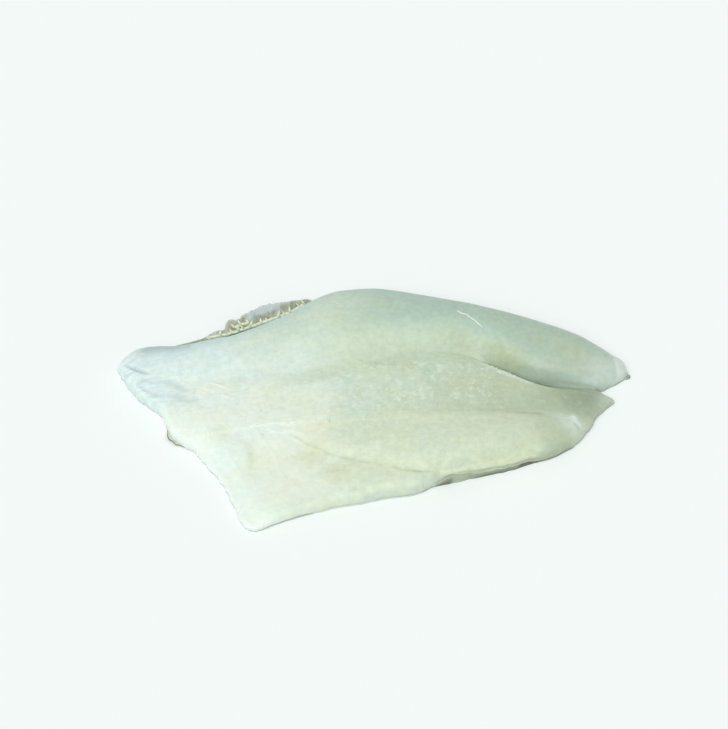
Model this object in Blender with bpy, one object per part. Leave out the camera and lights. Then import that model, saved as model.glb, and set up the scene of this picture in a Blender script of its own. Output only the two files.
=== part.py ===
"""A john dory fillet lying skin down: one side of the fish, cut off the bones, with its skin left on.

Four bands of meat run from the slanting head cut (-X) to the forked tail end (+X): the thin belly flap, the
belly lobe, the flat middle and the thick back loin. The lines between them guide the loft, so every furrow
of the meat runs along the mesh. +Y is the back of the fish, +Z is up, and the skin rests on Z = 0.
"""

import math

import bmesh
import bpy
import numpy as np
from mathutils import Matrix

MM = 0.001

# Driving dimensions, in millimetres.
THICKNESS = 18.0
SKIN_THICKNESS = 0.7
SKIN_GAP = 0.3
EDGE_WALL = 1.1

# How finely the top is divided: along the fillet, and across each band. The flat underside and the skin
# take every second line of this grid.
COLUMNS = 104
ROWS = {"flap": 10, "lobe": 10, "middle": 10, "loin": 16}
BANDS = tuple(ROWS)
SKIN_STEP = 2
MERGE_DISTANCE = 0.001
SMOOTH_BELOW = math.radians(50)

# The guides between the bands in plan (x, y), each from the head cut to the tail end, from belly to back.
GUIDES = [
    [(-46.5, -65.5), (-32, -60), (-6, -52.4), (14, -48), (24, -45.2), (29, -41.4), (40, -39), (56, -34.6),
     (68, -31.8), (79, -27.6), (86.2, -22.4)],
    [(-71, -29.5), (-50, -22), (-36, -19), (-27, -23.5), (-14, -29), (6, -34.2), (26, -37), (44, -34.8),
     (60, -30.8), (76, -25.5), (88.8, -19.5)],
    [(-79, -21.5), (-57, -17), (-31, -14.5), (3, -11), (41, -9.5), (62, -10), (78, -11), (86, -13.3),
     (90.8, -17)],
    [(-101, 4.5), (-84, 5), (-54, 9), (-19, 17), (12, 24.5), (36, 26), (49, 22.5), (60, 15), (72, 10.5),
     (86, 9.3), (98.5, 8)],
    [(-112.5, 22), (-110, 29), (-103, 33.5), (-87, 34.5), (-71, 40), (-45, 50), (-28, 61), (-13, 66.5),
     (4, 67), (25, 62), (50, 55.5), (75, 46.5), (95, 37.5), (107, 29.5), (112, 26), (114, 20)],
]

# The head cut and the tail end of each band, from its lower guide to its upper one.
HEAD_CUT = [
    [(-46.5, -65.5), (-51.5, -63), (-57, -51), (-62.5, -40), (-71, -29.5)],
    [(-71, -29.5), (-74.5, -24.5), (-79, -21.5)],
    [(-79, -21.5), (-85, -19), (-88.5, -12), (-91, -4), (-96, 0.2), (-101, 4.5)],
    [(-101, 4.5), (-106, 11.5), (-112.5, 22)],
]
TAIL_END = [
    [(86.2, -22.4), (88.8, -19.5)],
    [(88.8, -19.5), (90.8, -17)],
    [(90.8, -17), (95.5, -7.5), (100.5, -1.4), (104.6, 1.6), (101.6, 5), (98.5, 8)],
    [(98.5, 8), (105.5, 11.5), (110.5, 15.5), (114, 20)],
]

# Height of the meat above the skin at even steps from head to tail, as shares of the thickness: along each
# guide, and along the crown in the middle of each band.
GUIDE_HEIGHTS = [
    [0.15, 0.17, 0.19, 0.22, 0.25, 0.30, 0.32, 0.28, 0.18],
    [0.22, 0.33, 0.36, 0.34, 0.34, 0.36, 0.42, 0.40, 0.20],
    [0.26, 0.37, 0.45, 0.51, 0.56, 0.57, 0.53, 0.42, 0.16],
    [0.30, 0.38, 0.45, 0.49, 0.50, 0.48, 0.30, 0.16, 0.10],
    [0.26, 0.38, 0.44, 0.50, 0.56, 0.56, 0.50, 0.36, 0.15],
]
CROWN_HEIGHTS = {
    "flap": [0.19, 0.22, 0.25, 0.29, 0.33, 0.38, 0.42, 0.38, 0.20],
    "lobe": [0.24, 0.35, 0.41, 0.48, 0.56, 0.61, 0.63, 0.56, 0.22],
    "middle": [0.30, 0.40, 0.46, 0.51, 0.54, 0.55, 0.49, 0.35, 0.13],
    "loin": [0.34, 0.50, 0.66, 0.85, 0.97, 1.00, 0.93, 0.72, 0.26],
}
# How a band rises from its lower and its upper guide, from head to tail: 2 leaves a soft trough along the
# guide, 1 an even arch, and less a sharp furrow below a flatter top.
RISE = {
    "flap": ([1.0, 1.0, 0.8], [2.0, 1.5, 0.9]),
    "lobe": ([2.0, 1.0, 0.6], [2.0, 1.6, 0.7]),
    "middle": ([2.0, 1.8, 1.2], [2.0, 2.0, 2.0, 1.2, 0.6, 0.45]),
    "loin": ([2.2, 2.2, 2.0, 1.2, 0.65, 0.58], [0.9, 0.8, 0.6]),
}

# Towards the tail the loin leans over the cleft that parts it from the middle (shares of the length).
CLEFT_OPENS, CLEFT_DEEP, CLEFT_CLOSES = 0.62, 0.78, 0.97
CLEFT_OVERHANG = 2.4
CLEFT_LEAN_WIDTH = 0.45

# Rounding of the top towards its rim: reach inwards as a share of the height, with its limits. The meat's
# own edges are round, and those left by the knife are steep.
NATURAL_RIM = (0.85, 2.2, 8.0)
KNIFE_RIM = (0.40, 1.5, 3.5)

# Creases in the top: places in plan, depth and half width.
CREASE_LIMIT = 0.4
CREASES = {
    "nose_upper": ([(-110, 23), (-103, 17.5), (-95, 13.5)], 0.8, 1.7),
    "nose_lower": ([(-94, 12), (-84, 8), (-75, 4.5)], 0.7, 1.7),
    "nose_valley": ([(-88, 4), (-81, 0.5), (-72, -2)], 0.5, 2.4),
    "belly_fold": ([(-62, -21), (-53, -22), (-49.5, -29), (-51, -38)], 0.35, 2.4),
    "tail_flap": ([(103.5, 28), (106, 21), (106.5, 13)], 0.6, 1.5),
}

# The skin ends just inside the meat's outline, but for these stretches of the edge: centre in plan and half
# length, then how far its foot stands out there, how much wider it is, how high its edge rises, and how
# upright it is (0 leans out flat, 1 wraps up the side of the meat).
SKIN_INSET = 0.1
STRETCHES = {
    "fin_base_low": ((-65, 43.5), 11, 0.6, 5.0, 2.0, 0.0),
    "fin_base_high": ((-47, 51), 22, 0.6, 8.5, 3.2, 0.0),
    "rolled_side": ((43, -39), 28, 0.6, 0.0, 3.2, 1.0),
    "belly_tab": ((-83, -19), 9, 0.6, 1.2, 2.4, 0.6),
    "tail_tip": ((113, 20), 8, 0.3, 1.2, 0.3, 0.0),
}


def clear_scene():
    for obj in list(bpy.data.objects):
        bpy.data.objects.remove(obj, do_unlink=True)


def smooth_line(points, shares):
    """Places on a Catmull-Rom curve through the points, at these shares of its length."""
    p = np.array(points, float)
    p = np.vstack([2 * p[0] - p[1], p, 2 * p[-1] - p[-2]])
    t = np.linspace(0, 1, 24, endpoint=False)[:, None]
    pieces = []
    for a, b, c, d in zip(p, p[1:], p[2:], p[3:]):
        pieces.append(0.5 * (2 * b + (c - a) * t + (2 * a - 5 * b + 4 * c - d) * t**2
                             + (3 * b - a - 3 * c + d) * t**3))
    line = np.vstack(pieces + [p[-2:-1]])
    along = np.concatenate([[0], np.cumsum(np.linalg.norm(np.diff(line, axis=0), axis=1))])
    at = np.asarray(shares) * along[-1]
    return np.stack([np.interp(at, along, line[:, k]) for k in range(line.shape[1])], axis=-1)


def at_even_steps(values, shares):
    """A value that changes smoothly from head to tail, given at even steps, as a column for each share."""
    line = smooth_line(np.column_stack([np.linspace(0, 1, len(values)), values]), np.linspace(0, 1, 200))
    return np.interp(shares, line[:, 0], line[:, 1])[:, None]


def fade(x):
    """Falls smoothly from 1 at x = 0 to 0 at x = 1."""
    x = np.clip(x, 0, 1)
    return 1 - x * x * (3 - 2 * x)


def crowded(count, ends):
    """count + 1 shares from 0 to 1, closer together at both ends: even for ends = 0, most crowded for 1."""
    even = np.linspace(0, 1, count + 1)
    return (1 - ends) * even + ends * (1 - np.cos(math.pi * even)) / 2


def distance_to(lines, places):
    """Distance in plan from each place to the nearest of the smooth lines."""
    best = np.full(places.shape[:-1], np.inf)
    for points in lines:
        line = smooth_line(points, np.linspace(0, 1, 12 * len(points)))
        for start, run in zip(line, np.diff(line, axis=0)):
            share = np.clip((places - start) @ run / (run @ run), 0, 1)
            best = np.minimum(best, np.linalg.norm(places - start - share[..., None] * run, axis=-1))
    return best


def band_plan(band, u, v):
    """A Coons patch between the band's two guides and its two ends: a place in plan for each u and v."""
    low, high = smooth_line(GUIDES[band], u), smooth_line(GUIDES[band + 1], u)
    start, end = smooth_line(HEAD_CUT[band], v), smooth_line(TAIL_END[band], v)
    u, v = u[:, None, None], v[None, :, None]
    ruled = (1 - v) * low[:, None] + v * high[:, None] + (1 - u) * start[None] + u * end[None]
    corners = (1 - u) * ((1 - v) * low[0] + v * high[0]) + u * ((1 - v) * low[-1] + v * high[-1])
    return ruled - corners


def band_heights(band, u, v):
    """Height of the meat above the skin, before creases and rims: an arch from guide to guide."""
    name = BANDS[band]
    low, high = at_even_steps(GUIDE_HEIGHTS[band], u), at_even_steps(GUIDE_HEIGHTS[band + 1], u)
    level = (1 - v) * low + v * high
    from_low, from_high = (at_even_steps(rise, u) for rise in RISE[name])
    arch = (4 * v * (1 - v)) ** ((1 - v) * from_low + v * from_high)
    return THICKNESS * (level + (at_even_steps(CROWN_HEIGHTS[name], u) - level) * arch)


def cleft_lean(u, v):
    """How far the loin's flank is pushed over the cleft at each u and v."""
    opening = 1 - fade((u - CLEFT_OPENS) / (CLEFT_DEEP - CLEFT_OPENS))
    closing = fade((u - CLEFT_DEEP) / (CLEFT_CLOSES - CLEFT_DEEP))
    across = np.sin(math.pi * np.clip(v / CLEFT_LEAN_WIDTH, 0, 1)) ** 2
    return CLEFT_OVERHANG * (opening * closing)[:, None] * across


def loft():
    """One grid over the whole fillet: places in plan, heights above the skin and the lean of the loin."""
    u = crowded(COLUMNS, 0.5)
    plans, heights, leans = [], [], []
    for band, name in enumerate(BANDS):
        v = crowded(ROWS[name], 0.7)
        lean = cleft_lean(u, v) if name == "loin" else np.zeros((len(u), len(v)))
        last = None if name == BANDS[-1] else -1
        plans.append(band_plan(band, u, v)[:, :last])
        heights.append(band_heights(band, u, v)[:, :last])
        leans.append(lean[:, :last])
    return tuple(np.concatenate(grids, axis=1) for grids in (plans, heights, leans))


def edge_of_skin(places):
    """Stand-off, extra width, rise and uprightness of the skin's edge near each place."""
    stand_off = np.full(places.shape[:-1], -SKIN_INSET)
    width, rise, upright = np.zeros((3, *places.shape[:-1]))
    for centre, half_length, full_stand_off, full_width, full_rise, full_upright in STRETCHES.values():
        share = fade(np.linalg.norm(places - centre, axis=-1) / half_length)
        stand_off += full_stand_off * share
        width += full_width * share
        rise += full_rise * share**2
        upright += full_upright * share
    return stand_off, width, rise, upright


def rim(height, inside, share, least, most):
    """Factor that rounds the height off towards an edge."""
    reach = np.clip(share * height, least, most)
    return np.sqrt(1 - (1 - np.clip(inside / reach, 0, 1)) ** 2)


def creased(height, places):
    """The height with the creases pressed into it, none deeper than a share of what is there."""
    for points, depth, half_width in CREASES.values():
        away = distance_to([points], places)
        height = height - np.minimum(depth, CREASE_LIMIT * height) * np.exp(-((away / half_width) ** 2))
    return height


def ring(grid):
    """The border of a grid, once round, anticlockwise."""
    return list(grid[:-1, 0]) + list(grid[-1, :-1]) + list(grid[:0:-1, -1]) + list(grid[0, :0:-1])


def outward(loop):
    """Level unit directions out of an anticlockwise loop."""
    run = np.roll(loop, -1, axis=0) - np.roll(loop, 1, axis=0)
    out = np.column_stack([run[:, 1], -run[:, 0]])
    return out / np.linalg.norm(out, axis=1, keepdims=True)


def closed_body(name, top, loops, material):
    """An object from a top grid, the loops of its side from the top down, and a flat face in the last one."""
    mesh = bmesh.new()
    grid = np.array([[mesh.verts.new(place * MM) for place in column] for column in top], object)
    corners = (grid[:-1, :-1], grid[1:, :-1], grid[1:, 1:], grid[:-1, 1:])
    for cell in zip(*(corner.ravel() for corner in corners)):
        mesh.faces.new(cell)
    above = ring(grid)
    for loop in loops:
        below = [mesh.verts.new(place * MM) for place in loop]
        step = len(above) // len(below)
        for k, (a, b) in enumerate(zip(below, below[1:] + below[:1])):
            mesh.faces.new([a, b] + [above[(k * step + n) % len(above)] for n in range(step, -1, -1)])
        above = below
    mesh.faces.new(above[::-1])
    bmesh.ops.remove_doubles(mesh, verts=mesh.verts, dist=MERGE_DISTANCE * MM)
    level = [face for face in mesh.faces if np.ptp([vertex.co.z for vertex in face.verts]) == 0]
    bmesh.ops.dissolve_faces(mesh, faces=level, use_verts=False)
    data = bpy.data.meshes.new(name)
    mesh.to_mesh(data)
    mesh.free()
    data.shade_smooth()
    data.set_sharp_from_angle(angle=SMOOTH_BELOW)
    data.materials.append(material)
    obj = bpy.data.objects.new(name, data)
    bpy.context.scene.collection.objects.link(obj)
    return obj


def finish(name, colour, roughness):
    material = bpy.data.materials.new(name)
    material.use_nodes = True
    shader = material.node_tree.nodes["Principled BSDF"]
    shader.inputs["Base Color"].default_value = (*colour, 1)
    shader.inputs["Roughness"].default_value = roughness
    shader.inputs["Metallic"].default_value = 0
    return material


def at_height(plan, height):
    """Places from their plan and one height for all, or one each."""
    return np.concatenate([plan, np.broadcast_to(height, plan.shape[:-1])[..., None]], axis=-1)


def make_flesh(plan, height, lean):
    from_edges = distance_to([GUIDES[0], GUIDES[-1]], plan)
    from_cuts = distance_to(HEAD_CUT + TAIL_END, plan)
    height = creased(height, plan)
    rounding = rim(height, from_edges, *NATURAL_RIM) * rim(height, from_cuts, *KNIFE_RIM)
    _, _, rise, upright = edge_of_skin(plan)
    wall = EDGE_WALL + rise * upright
    underside = SKIN_THICKNESS + SKIN_GAP
    top = underside + wall + (height - wall) * rounding
    leaning = plan - lean[..., None] * (0, 1)
    bottom = np.array(ring(plan[::SKIN_STEP, ::SKIN_STEP]))
    return closed_body("flesh", at_height(leaning, top), [at_height(bottom, underside)],
                       finish("flesh", (0.62, 0.68, 0.53), 0.35))


def make_skin(plan):
    """A sheet under the meat whose edge reaches out of it, or wraps up its side."""
    plan = plan[::SKIN_STEP, ::SKIN_STEP]
    loop = np.array(ring(plan))
    out = outward(loop)
    stand_off, width, rise, upright = edge_of_skin(loop)
    foot = loop + out * stand_off[:, None]
    heel = foot + out * (SKIN_THICKNESS * upright)[:, None]
    spread = out * (width * (1 - upright))[:, None]
    side = [at_height(foot, SKIN_THICKNESS), at_height(foot + spread, SKIN_THICKNESS + rise),
            at_height(heel + spread, rise), at_height(heel, 0)]
    return closed_body("skin", at_height(plan, SKIN_THICKNESS), side, finish("skin", (0.13, 0.15, 0.12), 0.4))


def centre_on_origin(objects):
    """Moves the meshes so that the middle of their box is over the origin and its bottom is at Z = 0."""
    places = np.array([vertex.co for obj in objects for vertex in obj.data.vertices])
    low, high = places.min(axis=0), places.max(axis=0)
    middle = (low + high) / 2
    for obj in objects:
        obj.data.transform(Matrix.Translation((-middle[0], -middle[1], -low[2])))


def main():
    clear_scene()
    plan, height, lean = loft()
    centre_on_origin([make_flesh(plan, height, lean), make_skin(plan)])


main()
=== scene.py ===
"""A raw john dory fillet, skin down on a pale table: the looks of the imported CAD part.

Places in plan are millimetres on the fillet's own axes, as in the CAD: head cut at -X, tail end at +X, belly
at -Y, back at +Y. MM turns them into metres, and shift moves them onto the CAD's place.
"""

import math

import bpy
import numpy as np
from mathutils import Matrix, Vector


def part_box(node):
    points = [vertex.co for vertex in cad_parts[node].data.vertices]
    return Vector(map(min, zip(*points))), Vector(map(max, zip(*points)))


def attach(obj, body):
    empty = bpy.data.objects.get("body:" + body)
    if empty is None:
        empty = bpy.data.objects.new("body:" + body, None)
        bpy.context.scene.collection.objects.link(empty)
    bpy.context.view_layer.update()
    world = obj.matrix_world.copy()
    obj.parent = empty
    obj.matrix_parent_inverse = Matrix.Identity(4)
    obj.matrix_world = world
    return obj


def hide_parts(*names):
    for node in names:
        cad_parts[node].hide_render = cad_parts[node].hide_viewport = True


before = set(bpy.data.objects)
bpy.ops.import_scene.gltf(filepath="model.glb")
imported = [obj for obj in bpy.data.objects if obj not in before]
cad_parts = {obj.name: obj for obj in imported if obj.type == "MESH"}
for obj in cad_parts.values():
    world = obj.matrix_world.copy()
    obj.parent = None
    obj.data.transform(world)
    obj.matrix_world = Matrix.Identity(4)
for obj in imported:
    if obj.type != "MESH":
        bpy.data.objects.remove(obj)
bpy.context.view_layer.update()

# ---- The meat ----
# One whole side of the fish, lifted off the bones with a knife: raw white muscle, wet and half clear, in
# four bands. The cut side is up. The knife left steep ends, and the belly and the back have round edges.
MM = 0.001
THICKNESS = 18.0
SKIN_THICKNESS = 0.7
SKIN_GAP = 0.05
EDGE_WALL = 1.1
LENGTH = 228
BAND_WIDTH = 28
COLUMNS = 440
ROWS = {"flap": 40, "lobe": 44, "middle": 44, "loin": 64}
BANDS = tuple(ROWS)
FLOOR_STEP = 4
STEPS_PER_POINT = 24
GRAIN_CELLS = 64
GUIDES = [  # belly edge, fold line, belly seam, loin cleft, back edge
    [(-46.5, -65.5), (-32, -59.1), (-23, -56.2), (-6, -51.5), (8, -48.5), (19, -46.2), (25.5, -42.8),
     (31, -40.5), (46, -36.5), (58, -33), (66, -29.9), (72.2, -28.9), (78, -26.2), (85.4, -21.7)],
    [(-71, -29.5), (-50, -22), (-36, -19.5), (-27, -24.7), (-14, -31.3), (2, -35.3), (13, -38.6), (26, -39.4),
     (44, -34.6), (60, -30.4), (76, -25), (87.6, -19.2)],
    [(-79, -21.5), (-57, -17), (-31, -14.5), (3, -11), (41, -9.5), (62, -9.6), (78, -9.6), (86, -11),
     (89.8, -16.6)],
    [(-101, 4.5), (-84, 5), (-54, 9), (-19, 17), (12, 24.5), (36, 26), (49, 22.5), (60, 15), (72, 10.5),
     (86, 9.3), (99, 9.2)],
    [(-112.5, 22), (-109.6, 27.8), (-103, 32.7), (-87, 35.1), (-71, 39.7), (-63.8, 41.2), (-57, 44.1),
     (-51, 46.9), (-43.6, 50.5), (-38.4, 52.9), (-34.4, 55), (-29, 59.6), (-21.5, 64), (-13, 66.5), (4, 67),
     (25, 62), (50, 55.5), (75, 47.4), (95, 39.4), (107.4, 30), (112.4, 26), (114, 20)],
]
HEAD_CUT = [
    [(-46.5, -65.5), (-51.5, -63), (-57, -51), (-62.5, -40), (-71, -29.5)],
    [(-71, -29.5), (-74.5, -24.5), (-79, -21.5)],
    [(-79, -21.5), (-83.8, -17.6), (-87.4, -11), (-90.6, -4), (-96, 0.2), (-101, 4.5)],
    [(-101, 4.5), (-106, 11.5), (-112.5, 22)],
]
TAIL_END = [
    [(85.4, -21.7), (87.6, -19.2)],
    [(87.6, -19.2), (89.8, -16.6)],
    [(89.8, -16.6), (93.2, -12.4), (95.4, -8.5), (98.3, -3.6), (105.6, 2.9), (106.5, 3.4), (105.7, 3.8),
     (101.8, 6.6), (99, 9.2)],
    [(99, 9.2), (105.8, 13), (111.2, 16.6), (114, 20)],
]
GUIDE_HEIGHTS = [
    [0.15, 0.17, 0.19, 0.22, 0.25, 0.30, 0.32, 0.28, 0.18],
    [0.22, 0.33, 0.36, 0.34, 0.34, 0.36, 0.42, 0.40, 0.20],
    [0.26, 0.37, 0.45, 0.51, 0.56, 0.57, 0.53, 0.42, 0.16],
    [0.30, 0.38, 0.45, 0.49, 0.50, 0.48, 0.30, 0.16, 0.10],
    [0.26, 0.38, 0.44, 0.50, 0.56, 0.56, 0.50, 0.36, 0.15],
]
CROWN_HEIGHTS = {
    "flap": [0.19, 0.22, 0.25, 0.29, 0.33, 0.38, 0.42, 0.38, 0.20],
    "lobe": [0.24, 0.35, 0.41, 0.48, 0.56, 0.61, 0.63, 0.56, 0.22],
    "middle": [0.30, 0.40, 0.46, 0.51, 0.54, 0.55, 0.49, 0.35, 0.13],
    "loin": [0.34, 0.50, 0.66, 0.85, 0.97, 1.00, 0.93, 0.75, 0.26],
}
RISE = {
    "flap": ([1.0, 1.0, 0.8], [2.0, 1.5, 0.9]),
    "lobe": ([2.0, 1.0, 0.6], [2.0, 1.6, 0.7]),
    "middle": ([2.0, 1.8, 1.2], [2.0, 2.0, 2.0, 2.0, 2.0, 2.0, 2.0, 1.6, 0.8, 0.55, 0.45]),
    "loin": ([2.2, 2.2, 2.2, 2.2, 2.1, 2.0, 2.0, 1.7, 0.85, 0.62, 0.58], [0.9, 0.8, 0.6]),
}
CLEFT_OPENS, CLEFT_DEEP, CLEFT_CLOSES = 0.76, 0.86, 0.97
CLEFT_OVERHANG = 2.4
CLEFT_LEAN_WIDTH = 0.45
NATURAL_RIM = (0.85, 2.2, 8.0)
KNIFE_RIM = (0.40, 1.5, 3.5)
FORK_TIP = (106, 3.2)
CREASE_LIMIT = 0.4
CREASE_TAPER = 0.7
# Lines pressed into the meat, or raised for a depth below 0: places, depth, half width.
CREASES = {
    "nose_upper": ([(-108.2, 20.2), (-105, 18.4), (-102, 16.4), (-99, 15), (-96, 14.2)], 1.1, 0.9),
    "nose_lower": ([(-93.3, 10.2), (-87, 9.2), (-83.8, 7.6), (-80.6, 5.5), (-75.1, 4.5)], 0.6, 1.9),
    "nose_end": ([(-109.5, 16), (-106.8, 14.2), (-104, 14.6)], 0.5, 0.8),
    "nose_side": ([(-102, 9), (-98.5, 6.6), (-95, 4.2), (-91, 4)], 0.4, 1.0),
    "nose_middle": ([(-100, 12.5), (-96, 10.4), (-92, 9.6)], 0.3, 1.1),
    "nose_valley": ([(-88, 4), (-81, 0.5), (-72, -2)], 0.6, 2.4),
    "nose_ridge_high": ([(-71, 9), (-66, 7), (-60, 4.5)], -0.4, 0.6),
    "nose_ridge_low": ([(-67, 2), (-62, 0.5), (-57, -2)], -0.4, 0.6),
    "belly_fold": ([(-62, -21), (-53, -22), (-49.5, -29), (-51, -38)], 0.35, 2.2),
    "tail_flap": ([(107.5, 29), (107.2, 25), (107.8, 19), (107.4, 12)], 0.5, 0.8),
    "membrane_seam": ([(-34, -19.5), (-27, -24.7), (-22.7, -27.1), (-17.4, -30.1), (-11, -32.1),
                       (-3.5, -34.1), (2, -34.8), (13, -38.4), (25.5, -40.2), (33, -39.4)], 0.32, 1.0),
    "rolled_fold": ([(33, -38.6), (39, -37), (46, -34.6), (52, -32.6), (58, -31.2), (65, -29.8)], 0.4, 1.4),
    "belly_seam": ([(-31, -15), (3, -11), (41, -9), (62, -6.5), (80, -2)], 0.22, 1.2),
    "lobe_step": ([(60, -9), (70, -8.8), (78, -8.9), (84, -9), (88, -9.8)], 0.5, 0.8),
}
EDGE_SWAY = 0.45
CUT_SWAY = 0.55
FIBRE_RELIEF = 0.04
NOSE_RELIEF = 0.3
HEAD_RELIEF = 0.05
BELLY_RELIEF = 0.17
RIB_RELIEF = 0.10
MOTTLE_RELIEF = 0.075
SCRAP_RELIEF = 0.16
SOFT_RELIEF = 0.18
# How the skin's edge stands out of the meat, as in the CAD: centre in plan and half length of each stretch,
# then stand-off, extra width, rise and uprightness. The fin's membrane is a piece of its own, so the skin is
# narrow there, and along the head cut the meat hangs over it.
SKIN_INSET = 0.1
STRETCHES = {
    "fin_base": ((-52, 48), 30, 0.6, 1.3, 0.6, 0.0),
    "belly_tab": ((-84, -16.6), 11, 0.5, 1.6, 0.9, 0.05),
    "tail_tip": ((113.8, 19), 2.2, 0.5, 1.2, 0.4, 0.0),
}
# The side where the skin is rolled up the meat: from and to along X, and its heights at even steps between.
ROLL_START, ROLL_END = 33, 66
ROLL_RISES = (4.6, 3.2, 1.8, 1.2, 1.0, 1.0, 1.0)


def smooth_line(points, shares):
    """Places on a Catmull-Rom curve through the points, at these shares of its length."""
    p = np.array(points, float)
    p = np.vstack([2 * p[0] - p[1], p, 2 * p[-1] - p[-2]])
    t = np.linspace(0, 1, STEPS_PER_POINT, endpoint=False)[:, None]
    pieces = []
    for a, b, c, d in zip(p, p[1:], p[2:], p[3:]):
        pieces.append(0.5 * (2 * b + (c - a) * t + (2 * a - 5 * b + 4 * c - d) * t**2
                             + (3 * b - a - 3 * c + d) * t**3))
    line = np.vstack(pieces + [p[-2:-1]])
    along = np.concatenate([[0], np.cumsum(np.linalg.norm(np.diff(line, axis=0), axis=1))])
    at = np.asarray(shares) * along[-1]
    return np.stack([np.interp(at, along, line[:, k]) for k in range(line.shape[1])], axis=-1)


def at_even_steps(values, shares):
    """A value that changes smoothly from head to tail, given at even steps, as a column for each share."""
    line = smooth_line(np.column_stack([np.linspace(0, 1, len(values)), values]), np.linspace(0, 1, 200))
    return np.interp(shares, line[:, 0], line[:, 1])[:, None]


def fade(x):
    """Falls smoothly from 1 at x = 0 to 0 at x = 1."""
    x = np.clip(x, 0, 1)
    return 1 - x * x * (3 - 2 * x)


def between(x, low, high, soft):
    """1 where x is from low to high, falling smoothly to 0 over a soft margin outside them."""
    return fade((low - x) / soft) * fade((x - high) / soft)


def front(y):
    """1 on the belly's side of the fillet, falling to 0 just before its middle."""
    return fade((y + 12) / 8)


def away_from(place, places):
    """Distance in plan from one place to each of the others."""
    return np.linalg.norm(places - place, axis=-1)


def crowded(count, ends):
    """count + 1 shares from 0 to 1, closer together at both ends: even for ends = 0, most crowded for 1."""
    even = np.linspace(0, 1, count + 1)
    return (1 - ends) * even + ends * (1 - np.cos(math.pi * even)) / 2


def nearest_on(points, places):
    """Distance in plan from each place to a smooth line, and the share of the line at which it is nearest."""
    line = smooth_line(points, np.linspace(0, 1, 8 * len(points)))
    best, best_share = np.full(places.shape[:-1], np.inf), np.zeros(places.shape[:-1])
    for k, (start, run) in enumerate(zip(line, np.diff(line, axis=0))):
        share = np.clip((places - start) @ run / (run @ run), 0, 1)
        away = np.linalg.norm(places - start - share[..., None] * run, axis=-1)
        best_share = np.where(away < best, (k + share) / (len(line) - 1), best_share)
        best = np.minimum(best, away)
    return best, best_share


def distance_to(lines, places):
    """Distance in plan from each place to the nearest of the smooth lines."""
    return np.minimum.reduce([nearest_on(points, places)[0] for points in lines])


def band_plan(band, u, v):
    """A Coons patch between the band's two guides and its two ends: a place in plan for each u and v."""
    low, high = smooth_line(GUIDES[band], u), smooth_line(GUIDES[band + 1], u)
    start, end = smooth_line(HEAD_CUT[band], v), smooth_line(TAIL_END[band], v)
    u, v = u[:, None, None], v[None, :, None]
    ruled = (1 - v) * low[:, None] + v * high[:, None] + (1 - u) * start[None] + u * end[None]
    corners = (1 - u) * ((1 - v) * low[0] + v * high[0]) + u * ((1 - v) * low[-1] + v * high[-1])
    return ruled - corners


def band_heights(band, u, v):
    """Height of the meat above the skin, before creases and rims: an arch from guide to guide."""
    name = BANDS[band]
    low, high = at_even_steps(GUIDE_HEIGHTS[band], u), at_even_steps(GUIDE_HEIGHTS[band + 1], u)
    level = (1 - v) * low + v * high
    from_low, from_high = (at_even_steps(rise, u) for rise in RISE[name])
    arch = (4 * v * (1 - v)) ** ((1 - v) * from_low + v * from_high)
    return THICKNESS * (level + (at_even_steps(CROWN_HEIGHTS[name], u) - level) * arch)


def cleft_lean(u, v):
    """How far the loin's flank is pushed over the cleft at each u and v."""
    opening = 1 - fade((u - CLEFT_OPENS) / (CLEFT_DEEP - CLEFT_OPENS))
    closing = fade((u - CLEFT_DEEP) / (CLEFT_CLOSES - CLEFT_DEEP))
    across = np.sin(math.pi * np.clip(v / CLEFT_LEAN_WIDTH, 0, 1)) ** 2
    return CLEFT_OVERHANG * (opening * closing)[:, None] * across


def rim(height, inside, share, least, most):
    """Factor that rounds the height off towards an edge."""
    reach = np.clip(share * height, least, most)
    return np.sqrt(1 - (1 - np.clip(inside / reach, 0, 1)) ** 2)


def edge_of_skin(places):
    """Stand-off, extra width, rise and uprightness of the skin's edge near each place."""
    stand_off = np.full(places.shape[:-1], -SKIN_INSET)
    width, rise, upright = np.zeros((3, *places.shape[:-1]))
    for centre, half_length, full_stand_off, full_width, full_rise, full_upright in STRETCHES.values():
        share = fade(away_from(centre, places) / half_length)
        stand_off += full_stand_off * share
        width += full_width * share
        rise += full_rise * share**2
        upright += full_upright * share
    x, y = places[..., 0], places[..., 1]
    rolled = fade((ROLL_START - x) / 8) * fade((x - ROLL_END) / 3) * front(y)
    rise += rolled * np.interp(x, np.linspace(ROLL_START, ROLL_END, len(ROLL_RISES)), ROLL_RISES)
    upright = np.maximum(upright, np.clip(2 * rolled, 0, 1))
    return stand_off, width, rise, upright


def grain(x, y, seed):
    """Smooth noise from about -1 to 1 in x and y, whose hills are one unit apart."""
    turns = np.random.default_rng(seed).uniform(0, 2 * math.pi, (GRAIN_CELLS, GRAIN_CELLS))
    column, row = np.floor(x).astype(int), np.floor(y).astype(int)
    x, y = x - column, y - row
    value = np.zeros(np.broadcast(x, y).shape)
    for i in (0, 1):
        for j in (0, 1):
            turn = turns[(column + i) % GRAIN_CELLS, (row + j) % GRAIN_CELLS]
            slope = (x - i) * np.cos(turn) + (y - j) * np.sin(turn)
            value += fade(abs(x - i)) * fade(abs(y - j)) * slope
    return 1.6 * value


def grains(x, y, *layers):
    """The sum of layers of grain: for each the size of its hills in x and in y, its seed and its strength."""
    return sum(strength * grain(x / dx, y / dy, seed) for dx, dy, seed, strength in layers)


def wrinkles(x, y, seed):
    """Thin raised lines from 0 to 1 that wander like those of a loose membrane."""
    bent_x = x + 0.6 * grain(x / 2, y / 2, seed + 1)
    bent_y = y + 0.6 * grain(x / 2, y / 2, seed + 2)
    return np.clip(1 - 3.5 * abs(grain(bent_x, bent_y, seed)), 0, 1)


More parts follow.
